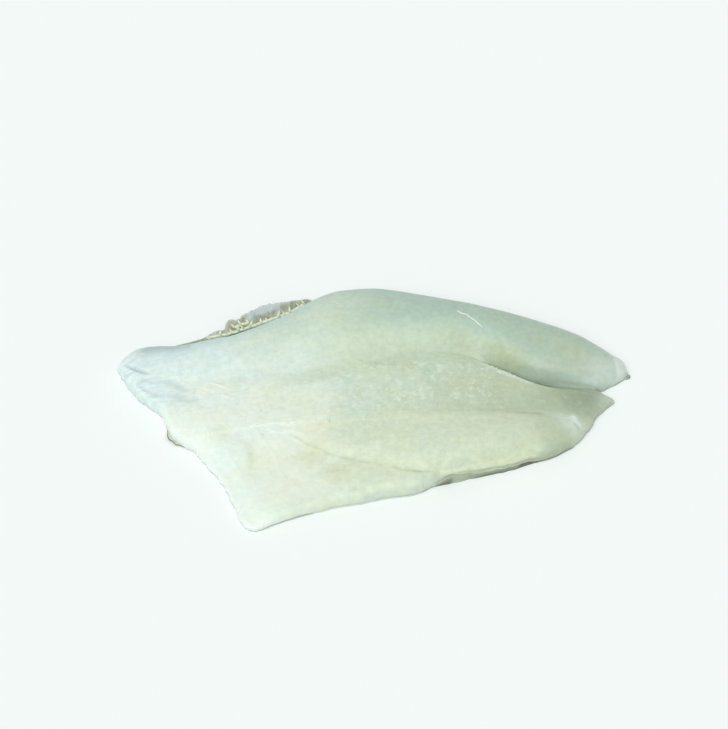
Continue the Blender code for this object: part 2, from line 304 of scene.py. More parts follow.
# One grid for the four bands. The rows say in which band a place is and how far across it.
rows, plans, heights, leans = [], [], [], []
u = crowded(COLUMNS, 0.5)
for band, name in enumerate(BANDS):
    v = crowded(ROWS[name], 0.7)
    last = None if name == BANDS[-1] else -1
    lean = cleft_lean(u, v) if name == "loin" else np.zeros((len(u), len(v)))
    plans.append(band_plan(band, u, v)[:, :last])
    heights.append(band_heights(band, u, v)[:, :last])
    leans.append(lean[:, :last])
    rows.append(band + v[:last])
plan, height, lean = (np.concatenate(grids, axis=1) for grids in (plans, heights, leans))
from_edges = distance_to([GUIDES[0], GUIDES[-1]], plan)
from_cuts = distance_to(HEAD_CUT + TAIL_END, plan)
inside = np.minimum(from_edges, from_cuts)
x, y = plan[..., 0], plan[..., 1]
sway = grains(x, y, (8, 20, 41, 1), (3, 12, 42, 0.5))
y += EDGE_SWAY * sway * fade(from_edges / 7) * np.clip(from_cuts / 8, 0, 1)
ragged = grains(x, y, (4, 4, 43, 1), (1.7, 1.7, 44, 0.7))
x += CUT_SWAY * ragged * fade(from_cuts / 6) * np.clip(from_edges / 4, 0, 1)
along = LENGTH * u[:, None] * np.ones_like(x)
rows = np.concatenate(rows) * np.ones_like(x)
across = BAND_WIDTH * rows


def in_band(name):
    """1 in a band and 0 in the others, soft over a tenth of a band."""
    band = BANDS.index(name)
    return between(across, BAND_WIDTH * (band + 0.1), BAND_WIDTH * (band + 0.9), BAND_WIDTH * 0.2)


def patch(centre, half_sizes, turn=0.0):
    """A soft oval on the meat, 1 at its centre: place in plan, half sizes and turn."""
    dx, dy = x - centre[0], y - centre[1]
    first = (dx * math.cos(turn) + dy * math.sin(turn)) / half_sizes[0]
    second = (dy * math.cos(turn) - dx * math.sin(turn)) / half_sizes[1]
    return np.exp(-0.7 * (first**2 + second**2))


def stripe(points, half_width):
    """A soft stripe along a smooth line, 1 at its middle."""
    return np.exp(-((distance_to([points], plan) / half_width) ** 2))


# Where the surface changes: masks from 0 to 1.
nose = fade((x + 112) / 42) * between(y, -4, 40, 12)
head = fade((x + 112) / 70)
belly = between(x, -80, -34, 16) * between(y, -60, -14, 8)
ribs = between(x, -30, 62, 18) * between(y, -6, 22, 5) * fade((along - LENGTH * 0.80) / 30)
beyond_fold = 1 - fade((x + 0.12 * y - 107.6 + 0.8 * grain(x / 3, y / 2, 45)) / 3.4)
cleft_shade_span = between(along, LENGTH * 0.78, LENGTH * 0.87, 12)
rim_side = between(along, LENGTH * 0.73, LENGTH * 0.80, 8)
rim_side = np.maximum(rim_side, 0.15 * between(along, LENGTH * 0.80, LENGTH * 0.97, 8))
clusters = np.clip(0.45 + grain(x / 8, y / 5, 5), 0, 1)
scrap_zone = between(y - 0.16 * x, -12, 17, 6) * between(x, -50, 50, 14)
scrap_zone = scrap_zone * (in_band("middle") + in_band("lobe")) * fade((rows - 2.88) / 0.1)

fibres = grains(along, across, (16, 1.5, 11, 1), (9, 0.7, 12, 0.6))
nose_lines = grains(along, across, (15, 1.9, 13, 1), (7, 0.9, 14, 0.6), (24, 4.5, 16, 0.8))
rib_marks = grain(along / 2.6 + 0.25 * across, across / 8, 15)
membrane = wrinkles(x / 9 + y / 20, y / 7, 21) + 0.4 * wrinkles(x / 4.6, y / 4, 24)
mottle = grain(x / 2.3 + y / 5, y / 1.7, 33) + 0.6 * grain(x / 1.2, y, 34)
soft_dents = grain(x / 17, y / 10, 31)
scraps = np.clip(grains(x, y, (1.9, 1.5, 35, 1), (0.9, 0.8, 36, 0.5)) - 0.35, 0, 1) * 1.6

relief = FIBRE_RELIEF * fibres + NOSE_RELIEF * nose * nose_lines
relief = relief + HEAD_RELIEF * head * (1 - nose) * nose_lines
relief = relief + BELLY_RELIEF * belly * membrane + RIB_RELIEF * ribs * rib_marks
calm = np.clip(belly + in_band("middle") * (1 - fade((x - 44) / 20)), 0, 1)
mottled_bands = in_band("middle") + in_band("lobe") * head + in_band("flap")
relief = relief + MOTTLE_RELIEF * mottled_bands * (1 - 0.4 * calm) * mottle
relief = relief + SCRAP_RELIEF * scrap_zone * clusters * scraps + SOFT_RELIEF * soft_dents

pressed = np.zeros_like(x)
for name, (points, depth, half_width) in CREASES.items():
    away, where = nearest_on(points, plan)
    share = np.exp(-((away / half_width) ** 2)) * np.clip(4 * where * (1 - where), 0, 1) ** CREASE_TAPER
    height = height - np.minimum(depth, CREASE_LIMIT * height) * share
    if name.startswith("nose"):
        pressed = np.maximum(pressed, depth * share)

_, _, rise, upright = edge_of_skin(plan)
thin_flap = fade(distance_to(HEAD_CUT[:1], plan) / 9)
thin_tip = fade(away_from(FORK_TIP, plan) / 9)
wall = EDGE_WALL * (1 - 0.6 * upright) * (1 - 0.4 * thin_flap - 0.6 * thin_tip) + rise * upright
height = height + relief * np.clip(inside / 2, 0, 1)
rounding = rim(height, from_edges, *NATURAL_RIM) * rim(height, from_cuts, *KNIFE_RIM)
cleft_away = distance_to([GUIDES[3]], plan)
cleft_rim = fade((rows - 2.97) / 0.03) * rim_side * np.exp(-(((cleft_away - 2.4 - 0.5 * mottle) / 1.1) ** 2))
height = height + 0.25 * cleft_rim

FIN_HOLLOW = 0.30
fin_hollow = FIN_HOLLOW * between(x, -84, -44, 12) * between(y, 30, 70, 5) * fade((from_edges - 1) / 7)
height = height * (1 - fin_hollow) * (1 - 0.45 * thin_flap)
UNDERSIDE = SKIN_THICKNESS + SKIN_GAP
SLIT = 0.25
top = UNDERSIDE + SLIT + wall + (height - wall) * rounding


def ring(grid):
    """The border of a grid, once round, anticlockwise."""
    return np.concatenate([grid[:-1, 0], grid[-1, :-1], grid[:0:-1, -1], grid[0, :0:-1]])


def outward(loop):
    """Level unit directions out of an anticlockwise loop."""
    run = np.roll(loop, -1, axis=0) - np.roll(loop, 1, axis=0)
    out = np.column_stack([run[:, 1], -run[:, 0]])
    return out / np.maximum(np.linalg.norm(out, axis=1, keepdims=True), 1e-9)


def with_height(places, z):
    """Places from their plan and one height for all, or one each."""
    return np.concatenate([places, np.broadcast_to(z, places.shape[:-1])[..., None]], axis=-1)


def put_on_border(grid, loop):
    """Gives the border of a grid the places of a loop, in the order of ring."""
    columns, rows = grid.shape[0] - 1, grid.shape[1] - 1
    grid[:-1, 0] = loop[:columns]
    grid[-1, :-1] = loop[columns:columns + rows]
    grid[:0:-1, -1] = loop[columns + rows:2 * columns + rows]
    grid[0, :0:-1] = loop[2 * columns + rows:]


def quads(index):
    """The faces of a grid of vertex numbers, seen from above."""
    return np.stack([index[:-1, :-1], index[1:, :-1], index[1:, 1:], index[:-1, 1:]], axis=-1).reshape(-1, 4)


def closed_mesh(name, grid, loops, floor, attributes):
    """A closed mesh from a top grid, the loops of its side from the top down, and a floor grid, whose border
    has one place for each, or each few, of the last loop. An attribute has a value for each place."""
    parts = [grid.reshape(-1, 3), *loops, floor.reshape(-1, 3)]
    starts = np.cumsum([0] + [len(part) for part in parts])
    upper = np.arange(starts[1]).reshape(grid.shape[:2])
    lower = np.arange(starts[-2], starts[-1]).reshape(floor.shape[:2])
    faces = quads(upper).tolist() + quads(lower)[:, ::-1].tolist()
    above = ring(upper)
    for start, loop in zip(starts[1:], loops):
        below = start + np.arange(len(loop))
        faces += np.column_stack([below, np.roll(below, -1), np.roll(above, -1), above]).tolist()
        above = below
    below = ring(lower)
    step = len(above) // len(below)
    for k, (a, b) in enumerate(zip(below, np.roll(below, -1))):
        faces.append([a, b] + [above[(k * step + n) % len(above)] for n in range(step, -1, -1)])
    mesh = bpy.data.meshes.new(name)
    mesh.from_pydata((np.vstack(parts) * MM).tolist(), [], faces)
    for label, values in attributes.items():
        values = np.concatenate([np.ravel(value) for value in values]).astype(np.float32)
        mesh.attributes.new(label, "FLOAT", "POINT").data.foreach_set("value", values)
    mesh.shade_smooth()
    mesh.set_sharp_from_angle(angle=math.radians(60))
    return mesh


def in_scene(name, data):
    obj = bpy.data.objects.new(name, data)
    bpy.context.scene.collection.objects.link(obj)
    return obj


# The border of the loft fits that of the CAD solid. Along the head cut the meat hangs down to the table.
border = ring(plan)
out = outward(border)
flesh_low, flesh_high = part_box("flesh")
middle_of_cad = np.array((flesh_low + flesh_high)[:2]) / 2 / MM
shift = middle_of_cad - (border.min(axis=0) + border.max(axis=0)) / 2
HANG_TO = 0.08
FLOOR_INSET = 0.55
tab_centre, tab_half_length = STRETCHES["belly_tab"][:2]
hang = fade(distance_to(HEAD_CUT, border) / 6) * (1 - fade(away_from(tab_centre, border) / tab_half_length))
foot_height = UNDERSIDE + (HANG_TO - UNDERSIDE) * hang
floor_plan = plan[::FLOOR_STEP, ::FLOOR_STEP].copy()
put_on_border(floor_plan, (border - FLOOR_INSET * out)[::FLOOR_STEP])

tan_patches = np.maximum.reduce([patch((-65, -19.5), (5, 3.5)), patch((-49.8, -31.5), (1.5, 5)),
                                 patch((-25, -30), (5, 5)), 0.7 * patch((-15, -38), (6, 3)),
                                 0.5 * patch((-54, -44), (5, 7))])
olive_patches = np.maximum.reduce([patch((25.8, 13.6), (3.2, 3.5)), patch((8, 18), (11, 2.6), 0.15),
                                   patch((17, 16), (4, 2.5)), 0.7 * patch((-24, 10), (12, 2.5), 0.2)])
silver_and_sheen_patches = (stripe([(74, -10), (80, -10.2), (86, -10.2), (88.6, -12.4)], 0.8)
                  + patch((86.6, -9.4), (1.2, 1.5)) + 0.75 * patch((84.6, -13.2), (6.5, 4.4), -0.5))
broken = np.clip(0.6 + 0.6 * grain(x / 5, y / 5, 46), 0, 1)
above_cleft = fade((3.0 - rows) / 0.08)
before = front(y)
# Where the meat's tone leaves the one that runs from head to tail, each zone laid over the last: its mask,
# its display colour and how strongly it shows. Some zones are painted shade or painted light, as said above
# each.
ZONES = {
    "flap": (fade((rows - 0.7) / 0.3) * fade((x - 14) / 16), (228, 238, 218), 0.7),
    "lobe": (between(rows, 0.4, 1.85, 0.18) * between(along, 76, 186, 34), (216, 226, 202), 0.75),
    # Painted shade: the back slope, which faces away from the sun, drawn darker and bluish.
    "back_edge": (fade(distance_to([GUIDES[4]], plan) / 16) * between(along, 14, 226, 14),
                  (173, 199, 192), 0.8),
    # Painted shade: the upper part of the loin, sloping away from the sun, drawn darker.
    "loin_top_shade": (between(rows, 3.36, 3.9, 0.2) * between(along, 130, 176, 46), (174, 198, 184), 0.75),
    "loin_shade": (above_cleft * between(along, 184, 200, 16) * fade((rows - 3.02) / 0.24),
                   (164, 178, 146), 0.65),
    "loin_tip": (above_cleft * patch((103.5, 15.5), (9, 8)) * (1 - 0.7 * beyond_fold), (206, 219, 212), 0.75),
    # Painted sheen: the loin's lower flank near the tail is drawn pale bluish, which also lifts the shade
    # under its overhang.
    "loin_flank_sheen": (above_cleft * between(along, 196, 226, 10) * fade((rows - 3.08) / 0.3),
                   (196, 212, 202), 0.75),
    "flank_shade": (between(rows, 3.06, 3.12, 0.11) * between(along, 194, 210, 14), (162, 178, 158), 0.46),
    "nose": (nose, (222, 237, 234), 0.8),
    "cream": (between(x, -76, -24, 16) * between(y, -52, 4, 10), (238, 242, 223), 0.5),
    "upper_left": (patch((-40, 36), (10, 7)), (200, 219, 201), 0.6),
    "low_edge": (fade(from_edges / 9) * between(x, -34, 22, 9) * before, (202, 214, 190), 0.35),
    "shadow": (stripe([(-40, 8), (-19, 13), (-2, 18), (12, 20.5), (25, 21.5), (40, 19)], 4.5),
               (196, 211, 188), 0.12),
    "olive": (np.clip(olive_patches * (0.8 + 0.4 * mottle), 0, 1), (176, 194, 168), 0.42),
    # Painted shade along the top of the nose, which rolls down away from the sun.
    "nose_top_shade": (stripe([(-99, 30), (-94.6, 30.8), (-89, 31), (-83.5, 31.8)], 4.0), (170, 192, 187), 0.75),
    "seam_line": (stripe(CREASES["membrane_seam"][0], 0.7) * broken, (188, 196, 162), 0.4),
    # The middle band's end at the fork: thinner, darker flesh, and painted shade under the end of the loin.
    "fork_shade_and_thin": (patch((93, 3), (13, 9)) * fade((rows - 3.02) / 0.1) * fade((x - 97) / 8), (152, 165, 140), 0.85),
    "fork_tip": (patch((103.5, 1), (5, 5)) * fade((rows - 2.95) / 0.1), (186, 199, 186), 0.7),
    # Painted shadow: a dark olive line down the cleft, under the loin's overhang.
    "cleft": (stripe(GUIDES[3], 0.9) * cleft_shade_span * (1 - cleft_rim) * fade((2.985 - rows) / 0.02),
              (134, 147, 114), 0.6),
    "cleft_glow": (fade((3.0 - rows) / 0.02) * between(along, 212, 226, 7) * fade((rows - 3.015) / 0.035),
                   (238, 247, 240), 0.2),
    "tan": (tan_patches, (208, 213, 172), 0.6),
    # Silver skin left on the lobe's end, with a painted highlight on it.
    "silver_and_sheen": (np.clip(silver_and_sheen_patches, 0, 1), (226, 239, 231), 0.85),
    # Painted light: lifts the shade in the trough between the loin and the middle band.
    "trough_lightened": (patch((-31, 16.5), (13, 3.6), 0.25), (238, 245, 232), 0.4),
    "nose_tip": (patch((-108, 20), (5, 5)), (240, 251, 248), 0.35),
    "tail_flap": (beyond_fold, (218, 229, 221), 0.75),
    # Painted shade in the fold above the rolled skin.
    "rolled": (stripe(CREASES["rolled_fold"][0], 2.2) * between(x, 32, 62, 6), (194, 204, 172), 0.35),
    # Painted light: lifts the shade on the meat's rounded edge above the rolled skin.
    "rolled_side": (fade((from_edges - 1) / 4) * between(x, 36, 70, 6) * before, (226, 234, 208), 0.5),
    # Painted shade along the lower edge near the tail, where the meat rounds down.
    "low_rim_shade": (fade(from_edges / 2.2) * between(x, 70, 84, 4) * before, (150, 160, 132), 0.35),
    # Bluish grey along the last two millimetres of the belly's edge, from x 0 to 20.
    "belly_edge_grey": (fade(from_edges / 2) * between(x, 0, 20, 6) * before, (198, 212, 200), 0.4),
    # Paler towards the belly's head cut, where the meat is thin, and partly painted light that fades it
    # towards white.
    "belly_cut": (fade((from_cuts - 1) / 20) * fade((y + 12) / 12) * fade((x + 34) / 16),
                  (236, 251, 240), 0.85),
}
masks = {label: mask for label, (mask, _, _) in ZONES.items()}
masks |= {
    "along": along / LENGTH,
    "across": rows,
    "calm": calm,
    "scraps": np.clip(scrap_zone * clusters * scraps + 0.8 * cleft_rim, 0, 1),
    "stranded": (np.clip(in_band("loin") + 0.6 * in_band("lobe") + 0.3 * in_band("middle"), 0, 1)
                 * (1 - belly)),
    "mottled": (np.clip(between(rows, 2.14, 2.76, 0.2) + 0.6 * in_band("lobe") + 0.6 * belly
                        + 0.5 * in_band("flap"), 0, 1) * (1 - 0.7 * fade((66 - x) / 30))),
    "wrinkle": belly * membrane,
    "pressed": np.clip(nose * np.maximum(-nose_lines - 0.3, 0) + pressed, 0, 1),
}


def for_all(values):
    """A grid of values for the meat's top, its three side loops and its floor."""
    return [values, *[ring(values)] * 3, values[::FLOOR_STEP, ::FLOOR_STEP]]


grid = with_height(plan + shift - lean[..., None] * (0, 1), top)
loops = [with_height(border + shift + 0.02 * out, UNDERSIDE + 0.7),
         with_height(border + shift - 0.03 * out, foot_height + 0.18),
         with_height(border + shift - 0.3 * out, foot_height)]
mesh = closed_mesh("meat", grid, loops, with_height(floor_plan + shift, UNDERSIDE),
                   {label: for_all(values) for label, values in masks.items()})
meat = in_scene("meat", mesh)


def display(red, green, blue):
    """The linear colour of a display colour given from 0 to 255."""
    levels = np.array([red, green, blue]) / 255
    return (*np.where(levels <= 0.04045, levels / 12.92, ((levels + 0.055) / 1.055) ** 2.4), 1.0)


class Nodes:
    """A node tree, with short ways to add and join nodes."""

    NOISE_RANGE = (0.28, 0.72)  # where nearly all of a noise's values lie

    def __init__(self, tree):
        self.tree = tree

    def join(self, node, inputs):
        """Links the outputs among these inputs to the node's sockets, and sets its sockets to the others."""
        for key, value in dict(inputs).items():
            if isinstance(value, bpy.types.NodeSocket):
                self.tree.links.new(value, node.inputs[key])
            else:
                node.inputs[key].default_value = value

    def add(self, kind, inputs=(), **settings):
        node = self.tree.nodes.new(kind)
        for key, value in settings.items():
            setattr(node, key, value)
        self.join(node, inputs)
        return node

    def value(self, label):
        return self.add("ShaderNodeAttribute", attribute_name=label).outputs["Fac"]

    def math(self, operation, a, b):
        return self.add("ShaderNodeMath", {0: a, 1: b}, operation=operation).outputs[0]

    def plus(self, a, b):
        return self.math("ADD", a, b)

    def less(self, a, b):
        return self.math("SUBTRACT", a, b)

    def times(self, a, b):
        return self.math("MULTIPLY", a, b)

    def swayed(self, noise, size):
        """A noise value turned into a sway of this size about 0."""
        return self.times(self.less(noise, 0.5), size)

    def mix(self, share, a, b, blend="MIX"):
        """Colour a turned towards colour b by share."""
        node = self.add("ShaderNodeMix", {"Factor": share, 6: a, 7: b}, data_type="RGBA", blend_type=blend)
        return node.outputs[2]

    def toned(self, colour, label, tone, share):
        """The colour turned towards a tone by an attribute's value times a share."""
        return self.mix(self.times(self.value(label), share), colour, tone)

    def shaded(self, colour, noise, least, most):
        """The colour made darker and lighter by a noise value."""
        return self.mix(1.0, colour, self.swing(noise, least, most), "MULTIPLY")

    def noise(self, vector, scale, detail=2.0, roughness=0.5):
        node = self.add("ShaderNodeTexNoise", {"Vector": vector, "Scale": scale, "Detail": detail,
                                               "Roughness": roughness})
        return node.outputs["Fac"]

    def stretched(self, vector, scale):
        return self.add("ShaderNodeMapping", {"Vector": vector, "Scale": scale}).outputs[0]

    def ramp(self, share, low, high, least=0.0, most=1.0, form="SMOOTHSTEP"):
        """least where share is below low, most where it is above high, and smooth between."""
        node = self.add("ShaderNodeMapRange", {"Value": share, "From Min": low, "From Max": high,
                                               "To Min": least, "To Max": most}, interpolation_type=form)
        return node.outputs[0]

    def swing(self, noise, least, most):
        """A noise value turned into a factor from least to most."""
        return self.ramp(noise, *self.NOISE_RANGE, least, most, "LINEAR")


# A film of water lies on all of the fillet, thicker here and thinner there, over a fine grain.
wet_film = bpy.data.node_groups.new("wet_film", "ShaderNodeTree")
for way, kind, labels in (("INPUT", "NodeSocketVector", ["Vector"]),
                          ("INPUT", "NodeSocketFloat", ["Patch Scale", "Pore Scale", "Wet", "Dry"]),
                          ("OUTPUT", "NodeSocketFloat", ["Roughness", "Height"])):
    for label in labels:
        wet_film.interface.new_socket(label, in_out=way, socket_type=kind)
nodes = Nodes(wet_film)
inputs = nodes.add("NodeGroupInput").outputs
dry_share = nodes.ramp(nodes.noise(inputs["Vector"], inputs["Patch Scale"], 3.0), 0.35, 0.65)
drier = nodes.times(dry_share, nodes.less(inputs["Dry"], inputs["Wet"]))
pores = nodes.noise(inputs["Vector"], inputs["Pore Scale"], 3.0, 0.6)
pore_depth = nodes.plus(nodes.times(dry_share, 0.7), 0.3)
nodes.add("NodeGroupOutput", {"Roughness": nodes.plus(inputs["Wet"], drier),
                              "Height": nodes.times(pores, pore_depth)})


class Material(Nodes):
    """A material's node tree, with its shader and the places on its object."""

    def __init__(self, name):
        self.material = bpy.data.materials.new(name)
        self.material.use_nodes = True
        super().__init__(self.material.node_tree)
        self.shader = self.tree.nodes["Principled BSDF"]
        self.places = self.add("ShaderNodeTexCoord").outputs["Object"]

    def wet(self, patch_scale, pore_scale, wet, dry):
        """Gives the shader the roughness of the film of water, and returns the film's fine height."""
        film = self.add("ShaderNodeGroup", {"Vector": self.places, "Patch Scale": patch_scale,
                                            "Pore Scale": pore_scale, "Wet": wet, "Dry": dry},
                        node_tree=wet_film).outputs
        self.join(self.shader, {"Roughness": film["Roughness"]})
        return film["Height"]

    def finished(self, colour, height, strength, depth, others):
        """The material with this colour, a bump from a height, and the shader's other inputs."""
        bump = self.add("ShaderNodeBump", {"Height": height, "Strength": strength, "Distance": depth})
        self.join(self.shader, {"Base Color": colour, "Normal": bump.outputs[0], **others})
        return self.material


# The meat runs from pale at the head, where it is thin, to olive at the tail. Part of this fall is painted
# light: the head end is drawn brighter, as if lit more strongly.
HEAD_TONE = display(223, 239, 235)
MIDDLE_TONE = display(208, 222, 200)
TAIL_TONE = display(188, 201, 173)
COOL_TINT = (0.98, 1.0, 1.02, 1)
WARM_TINT = (1.009, 1.0, 0.977, 1)
CREASE_SHADE = display(176, 192, 192)
WHITE_TISSUE = display(234, 242, 228)

nodes = Material("raw_meat")
lengthwise = nodes.add("ShaderNodeCombineXYZ", {"X": nodes.value("along"), "Y": nodes.value("across")})
lengthwise = lengthwise.outputs[0]
tailward = nodes.plus(nodes.value("along"), nodes.swayed(nodes.noise(nodes.places, 62.0), 0.25))
colour = nodes.mix(nodes.ramp(tailward, 0.08, 0.50), HEAD_TONE, MIDDLE_TONE)
colour = nodes.mix(nodes.ramp(tailward, 0.45, 0.92), colour, TAIL_TONE)
for label, (_, tone, share) in ZONES.items():
    colour = nodes.toned(colour, label, display(*tone), share)
far_clouds = nodes.noise(nodes.stretched(nodes.places, (0.6, 1.0, 1.0)), 95.0, 3.0)
tint = nodes.mix(nodes.ramp(far_clouds, 0.36, 0.64), COOL_TINT, WARM_TINT)
colour = nodes.mix(1.0, colour, tint, "MULTIPLY")
colour = nodes.shaded(colour, nodes.noise(nodes.places, 210.0, 4.0, 0.6), 0.96, 1.028)
streaks = nodes.noise(nodes.stretched(lengthwise, (14.0, 38.0, 1.0)), 1.0, 4.0, 0.6)
colour = nodes.shaded(colour, streaks, 0.985, 1.015)
speckled = nodes.shaded(colour, nodes.noise(nodes.places, 420.0, 3.0, 0.6), 0.94, 1.06)
colour = nodes.mix(nodes.less(0.8, nodes.times(nodes.value("calm"), 0.4)), colour, speckled)
blotches = nodes.ramp(nodes.noise(nodes.places, 330.0, 4.0, 0.55), 0.50, 0.68)
# White tissue in blotches, wrinkles and scraps. The nose's creases and the valleys of its lines get painted
# shade.
for label, tone, share in (("mottled", WHITE_TISSUE, nodes.times(blotches, 0.42)),
                           ("wrinkle", WHITE_TISSUE, 0.35), ("pressed", CREASE_SHADE, 0.5),
                           ("scraps", WHITE_TISSUE, 0.65)):
    colour = nodes.toned(colour, label, tone, share)
threads = nodes.noise(nodes.stretched(lengthwise, (60.0, 105.0, 1.0)), 1.0, 3.0)
threads = nodes.times(threads, nodes.value("stranded"))
fine = nodes.plus(nodes.times(nodes.wet(55.0, 800.0, 0.34, 0.55), 0.6), threads)
meat.data.materials.append(nodes.finished(colour, fine, 0.35, 0.00025, {
    "Subsurface Weight": 0.7, "Subsurface Radius": (1.0, 1.1, 0.8), "Subsurface Scale": 0.0018,
    "IOR": 1.38, "Coat Weight": 0.18, "Coat Roughness": 0.28}))
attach(meat, "root")
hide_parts("flesh")

# ---- The skin ----
# The fish's own skin, left on under the meat: a tough sheet with tiny scales and one round dark spot on the
# outer side, which is down. It curls out at the fins' base and the belly, and up the side of the belly lobe.
SKIN_STEP = 2
SKIN_LIP_STEPS = 6
RIM_STEPS = 3
HEAD_CUT_INSET = 0.85
SPOT_PLACE = (-0.024, 0.012, 0.0)
SPOT_RADIUS = 0.0135

skin_plan = plan[::SKIN_STEP, ::SKIN_STEP]
skin_border = ring(skin_plan)
skin_out = outward(skin_border)
skin_x, skin_y = skin_border.T
stand_off, width, rise, upright = edge_of_skin(skin_border)
under_flap = between(skin_x, -60, -26, 6) * fade((skin_y + 40) / 8)
stand_off = stand_off - HEAD_CUT_INSET * np.maximum(np.minimum(2 * hang[::SKIN_STEP], 1), under_flap)
tip_away = away_from(STRETCHES["tail_tip"][0], skin_border)
torn = np.maximum(fade(away_from(tab_centre, skin_border) / 10), fade(tip_away / 3))
torn_edge = grains(skin_x, skin_y, (1.6, 1.6, 52, 0.9), (0.8, 0.8, 53, 0.5))
ragged = 0.22 * grain(skin_x / 2.2, skin_y / 2.2, 51)
width = width * (1 + ragged + torn * torn_edge)
rise = rise * (1 + 0.6 * ragged)


def lip(share, outer):
    """One loop of the skin's edge: share 0 at its foot, 1 at its rim, on the inner or the outer face."""
    thickness = SKIN_THICKNESS * (1 - 0.35 * share)
    reach = stand_off + width * (1 - upright) * share + thickness * upright * outer
    lift = rise * share**1.4 + thickness * (1 - outer)
    return with_height(skin_border + shift + skin_out * reach[:, None], lift)


def rounded(inner, outer, turn):
    """One loop of the rim's half round: its turn is 0 at the inner loop and pi at the outer one."""
    middle, half = (inner + outer) / 2, (inner - outer) / 2
    across_out = (half[:, :2] * skin_out).sum(axis=1)
    bulge = np.column_stack([skin_out * half[:, 2:], -across_out])
    return middle + math.cos(turn) * half + math.sin(turn) * bulge


inner_loops = [lip(share, 0) for share in np.linspace(0, 1, SKIN_LIP_STEPS)]
outer_loops = [lip(share, 1) for share in np.linspace(1, 0, SKIN_LIP_STEPS)]
turns = np.linspace(0, math.pi, RIM_STEPS + 2)[1:-1]
rim_loops = [rounded(inner_loops[-1], outer_loops[0], turn) for turn in turns]
foot_of_lip = skin_border + (np.minimum(stand_off, 0) - 0.3)[:, None] * skin_out
sheet_plan = skin_plan.copy()
put_on_border(sheet_plan, foot_of_lip)
sheet_top = with_height(sheet_plan + shift, SKIN_THICKNESS)
sheet_floor = with_height(sheet_plan + shift, 0.0)
count = len(skin_border)
flat = np.zeros(sheet_top.shape[:2])
upwards = [np.full(count, share) for share in np.linspace(0, 1, SKIN_LIP_STEPS)]
outside = [flat, *[np.zeros(count)] * SKIN_LIP_STEPS, *[np.full(count, 0.5)] * RIM_STEPS,
           *[np.ones(count)] * SKIN_LIP_STEPS, flat + 1]
climb = [flat, *upwards, *[np.ones(count)] * RIM_STEPS, *upwards[::-1], flat]
in_front = front(skin_y)
around = {
    "pale": fade((skin_x - ROLL_START + 6) / 3) * fade((skin_y + 30) / 10),
    "rolled": between(skin_x, ROLL_START - 5, ROLL_END, 4) * in_front,
    "torn": torn,
    "roll_along": np.clip((skin_x - ROLL_START) / (ROLL_END - ROLL_START), 0, 1),
    "roll_start": between(skin_x, ROLL_START - 10, ROLL_START - 1, 3) * in_front,
    "roll_end": np.maximum(between(skin_x, ROLL_END - 3, ROLL_END + 1, 3) * in_front,
                           0.8 * fade(tip_away / 2.6)),
}
# A value around the border holds for all the loops of the skin's side. Its top and floor have none.
side_loops = 2 * SKIN_LIP_STEPS + RIM_STEPS
attributes = {label: [flat, *[values] * side_loops, flat] for label, values in around.items()}
mesh = closed_mesh("skin_sheet", sheet_top, inner_loops + rim_loops + outer_loops, sheet_floor,
                   attributes | {"outside": outside, "climb": climb})
skin = in_scene("skin_sheet", mesh)

BROWN_SKIN = display(96, 92, 70)
GREY_SKIN = display(104, 119, 117)
BLUE_SKIN = display(118, 138, 142)
GOLD_SKIN = display(138, 130, 98)
SPOT_TONE = display(58, 66, 60)
HALO_TONE = display(128, 138, 124)
SCALE_EDGE = display(50, 54, 46)
INNER_SKIN = display(238, 242, 222)
CUT_SKIN = display(150, 160, 140)
PALE_EDGE = display(222, 232, 224)
ROLLED_PALE = display(172, 182, 158)
ROLLED_GREY = display(112, 123, 106)
ROLLED_RIM = display(188, 198, 170)
DARK_EDGE = display(84, 90, 70)

nodes = Material("fish_skin")
clouds = nodes.noise(nodes.places, 45.0, 4.0, 0.6)
mottles = nodes.noise(nodes.places, 260.0, 4.0, 0.65)
tailward = nodes.add("ShaderNodeSeparateXYZ", {"Vector": nodes.places}).outputs[0]
wandering = nodes.times(clouds, 0.05)
colour = nodes.mix(nodes.ramp(nodes.plus(tailward, wandering), -0.07, 0.06), BROWN_SKIN, GREY_SKIN)
colour = nodes.mix(nodes.ramp(clouds, 0.55, 0.75), colour, BLUE_SKIN)
colour = nodes.mix(nodes.ramp(nodes.less(wandering, tailward), 0.10, 0.13), colour, GOLD_SKIN)
from_spot = nodes.add("ShaderNodeVectorMath", {0: nodes.places, 1: SPOT_PLACE}, operation="DISTANCE")
from_spot = nodes.plus(from_spot.outputs["Value"], nodes.swayed(clouds, 0.008))
in_halo = nodes.less(nodes.ramp(from_spot, SPOT_RADIUS, 1.15 * SPOT_RADIUS),
                     nodes.ramp(from_spot, 1.2 * SPOT_RADIUS, 1.6 * SPOT_RADIUS))
colour = nodes.mix(nodes.times(in_halo, 0.8), colour, HALO_TONE)
in_spot = nodes.less(1.0, nodes.ramp(from_spot, 0.85 * SPOT_RADIUS, 1.05 * SPOT_RADIUS))
colour = nodes.mix(nodes.times(in_spot, 0.9), colour, SPOT_TONE)
colour = nodes.shaded(colour, mottles, 0.75, 1.25)
scales = nodes.add("ShaderNodeTexVoronoi", {"Vector": nodes.stretched(nodes.places, (0.8, 1.2, 1.0)),
                                            "Scale": 900.0}).outputs["Distance"]
colour = nodes.mix(nodes.times(nodes.ramp(scales, 0.2, 0.7), 0.35), colour, SCALE_EDGE)
outer_side, climbed = nodes.value("outside"), nodes.value("climb")
colour = nodes.mix(nodes.times(nodes.less(1.0, outer_side), 0.85), colour, INNER_SKIN)
at_rim = nodes.math("POWER", climbed, 4.0)
colour = nodes.mix(nodes.times(at_rim, 0.6), colour, CUT_SKIN)
# Painted light: the skin's rim along the belly and the nose is drawn pale, so no dark line of shade shows
# under the meat's edge.
colour = nodes.toned(colour, "pale", PALE_EDGE, 0.85)
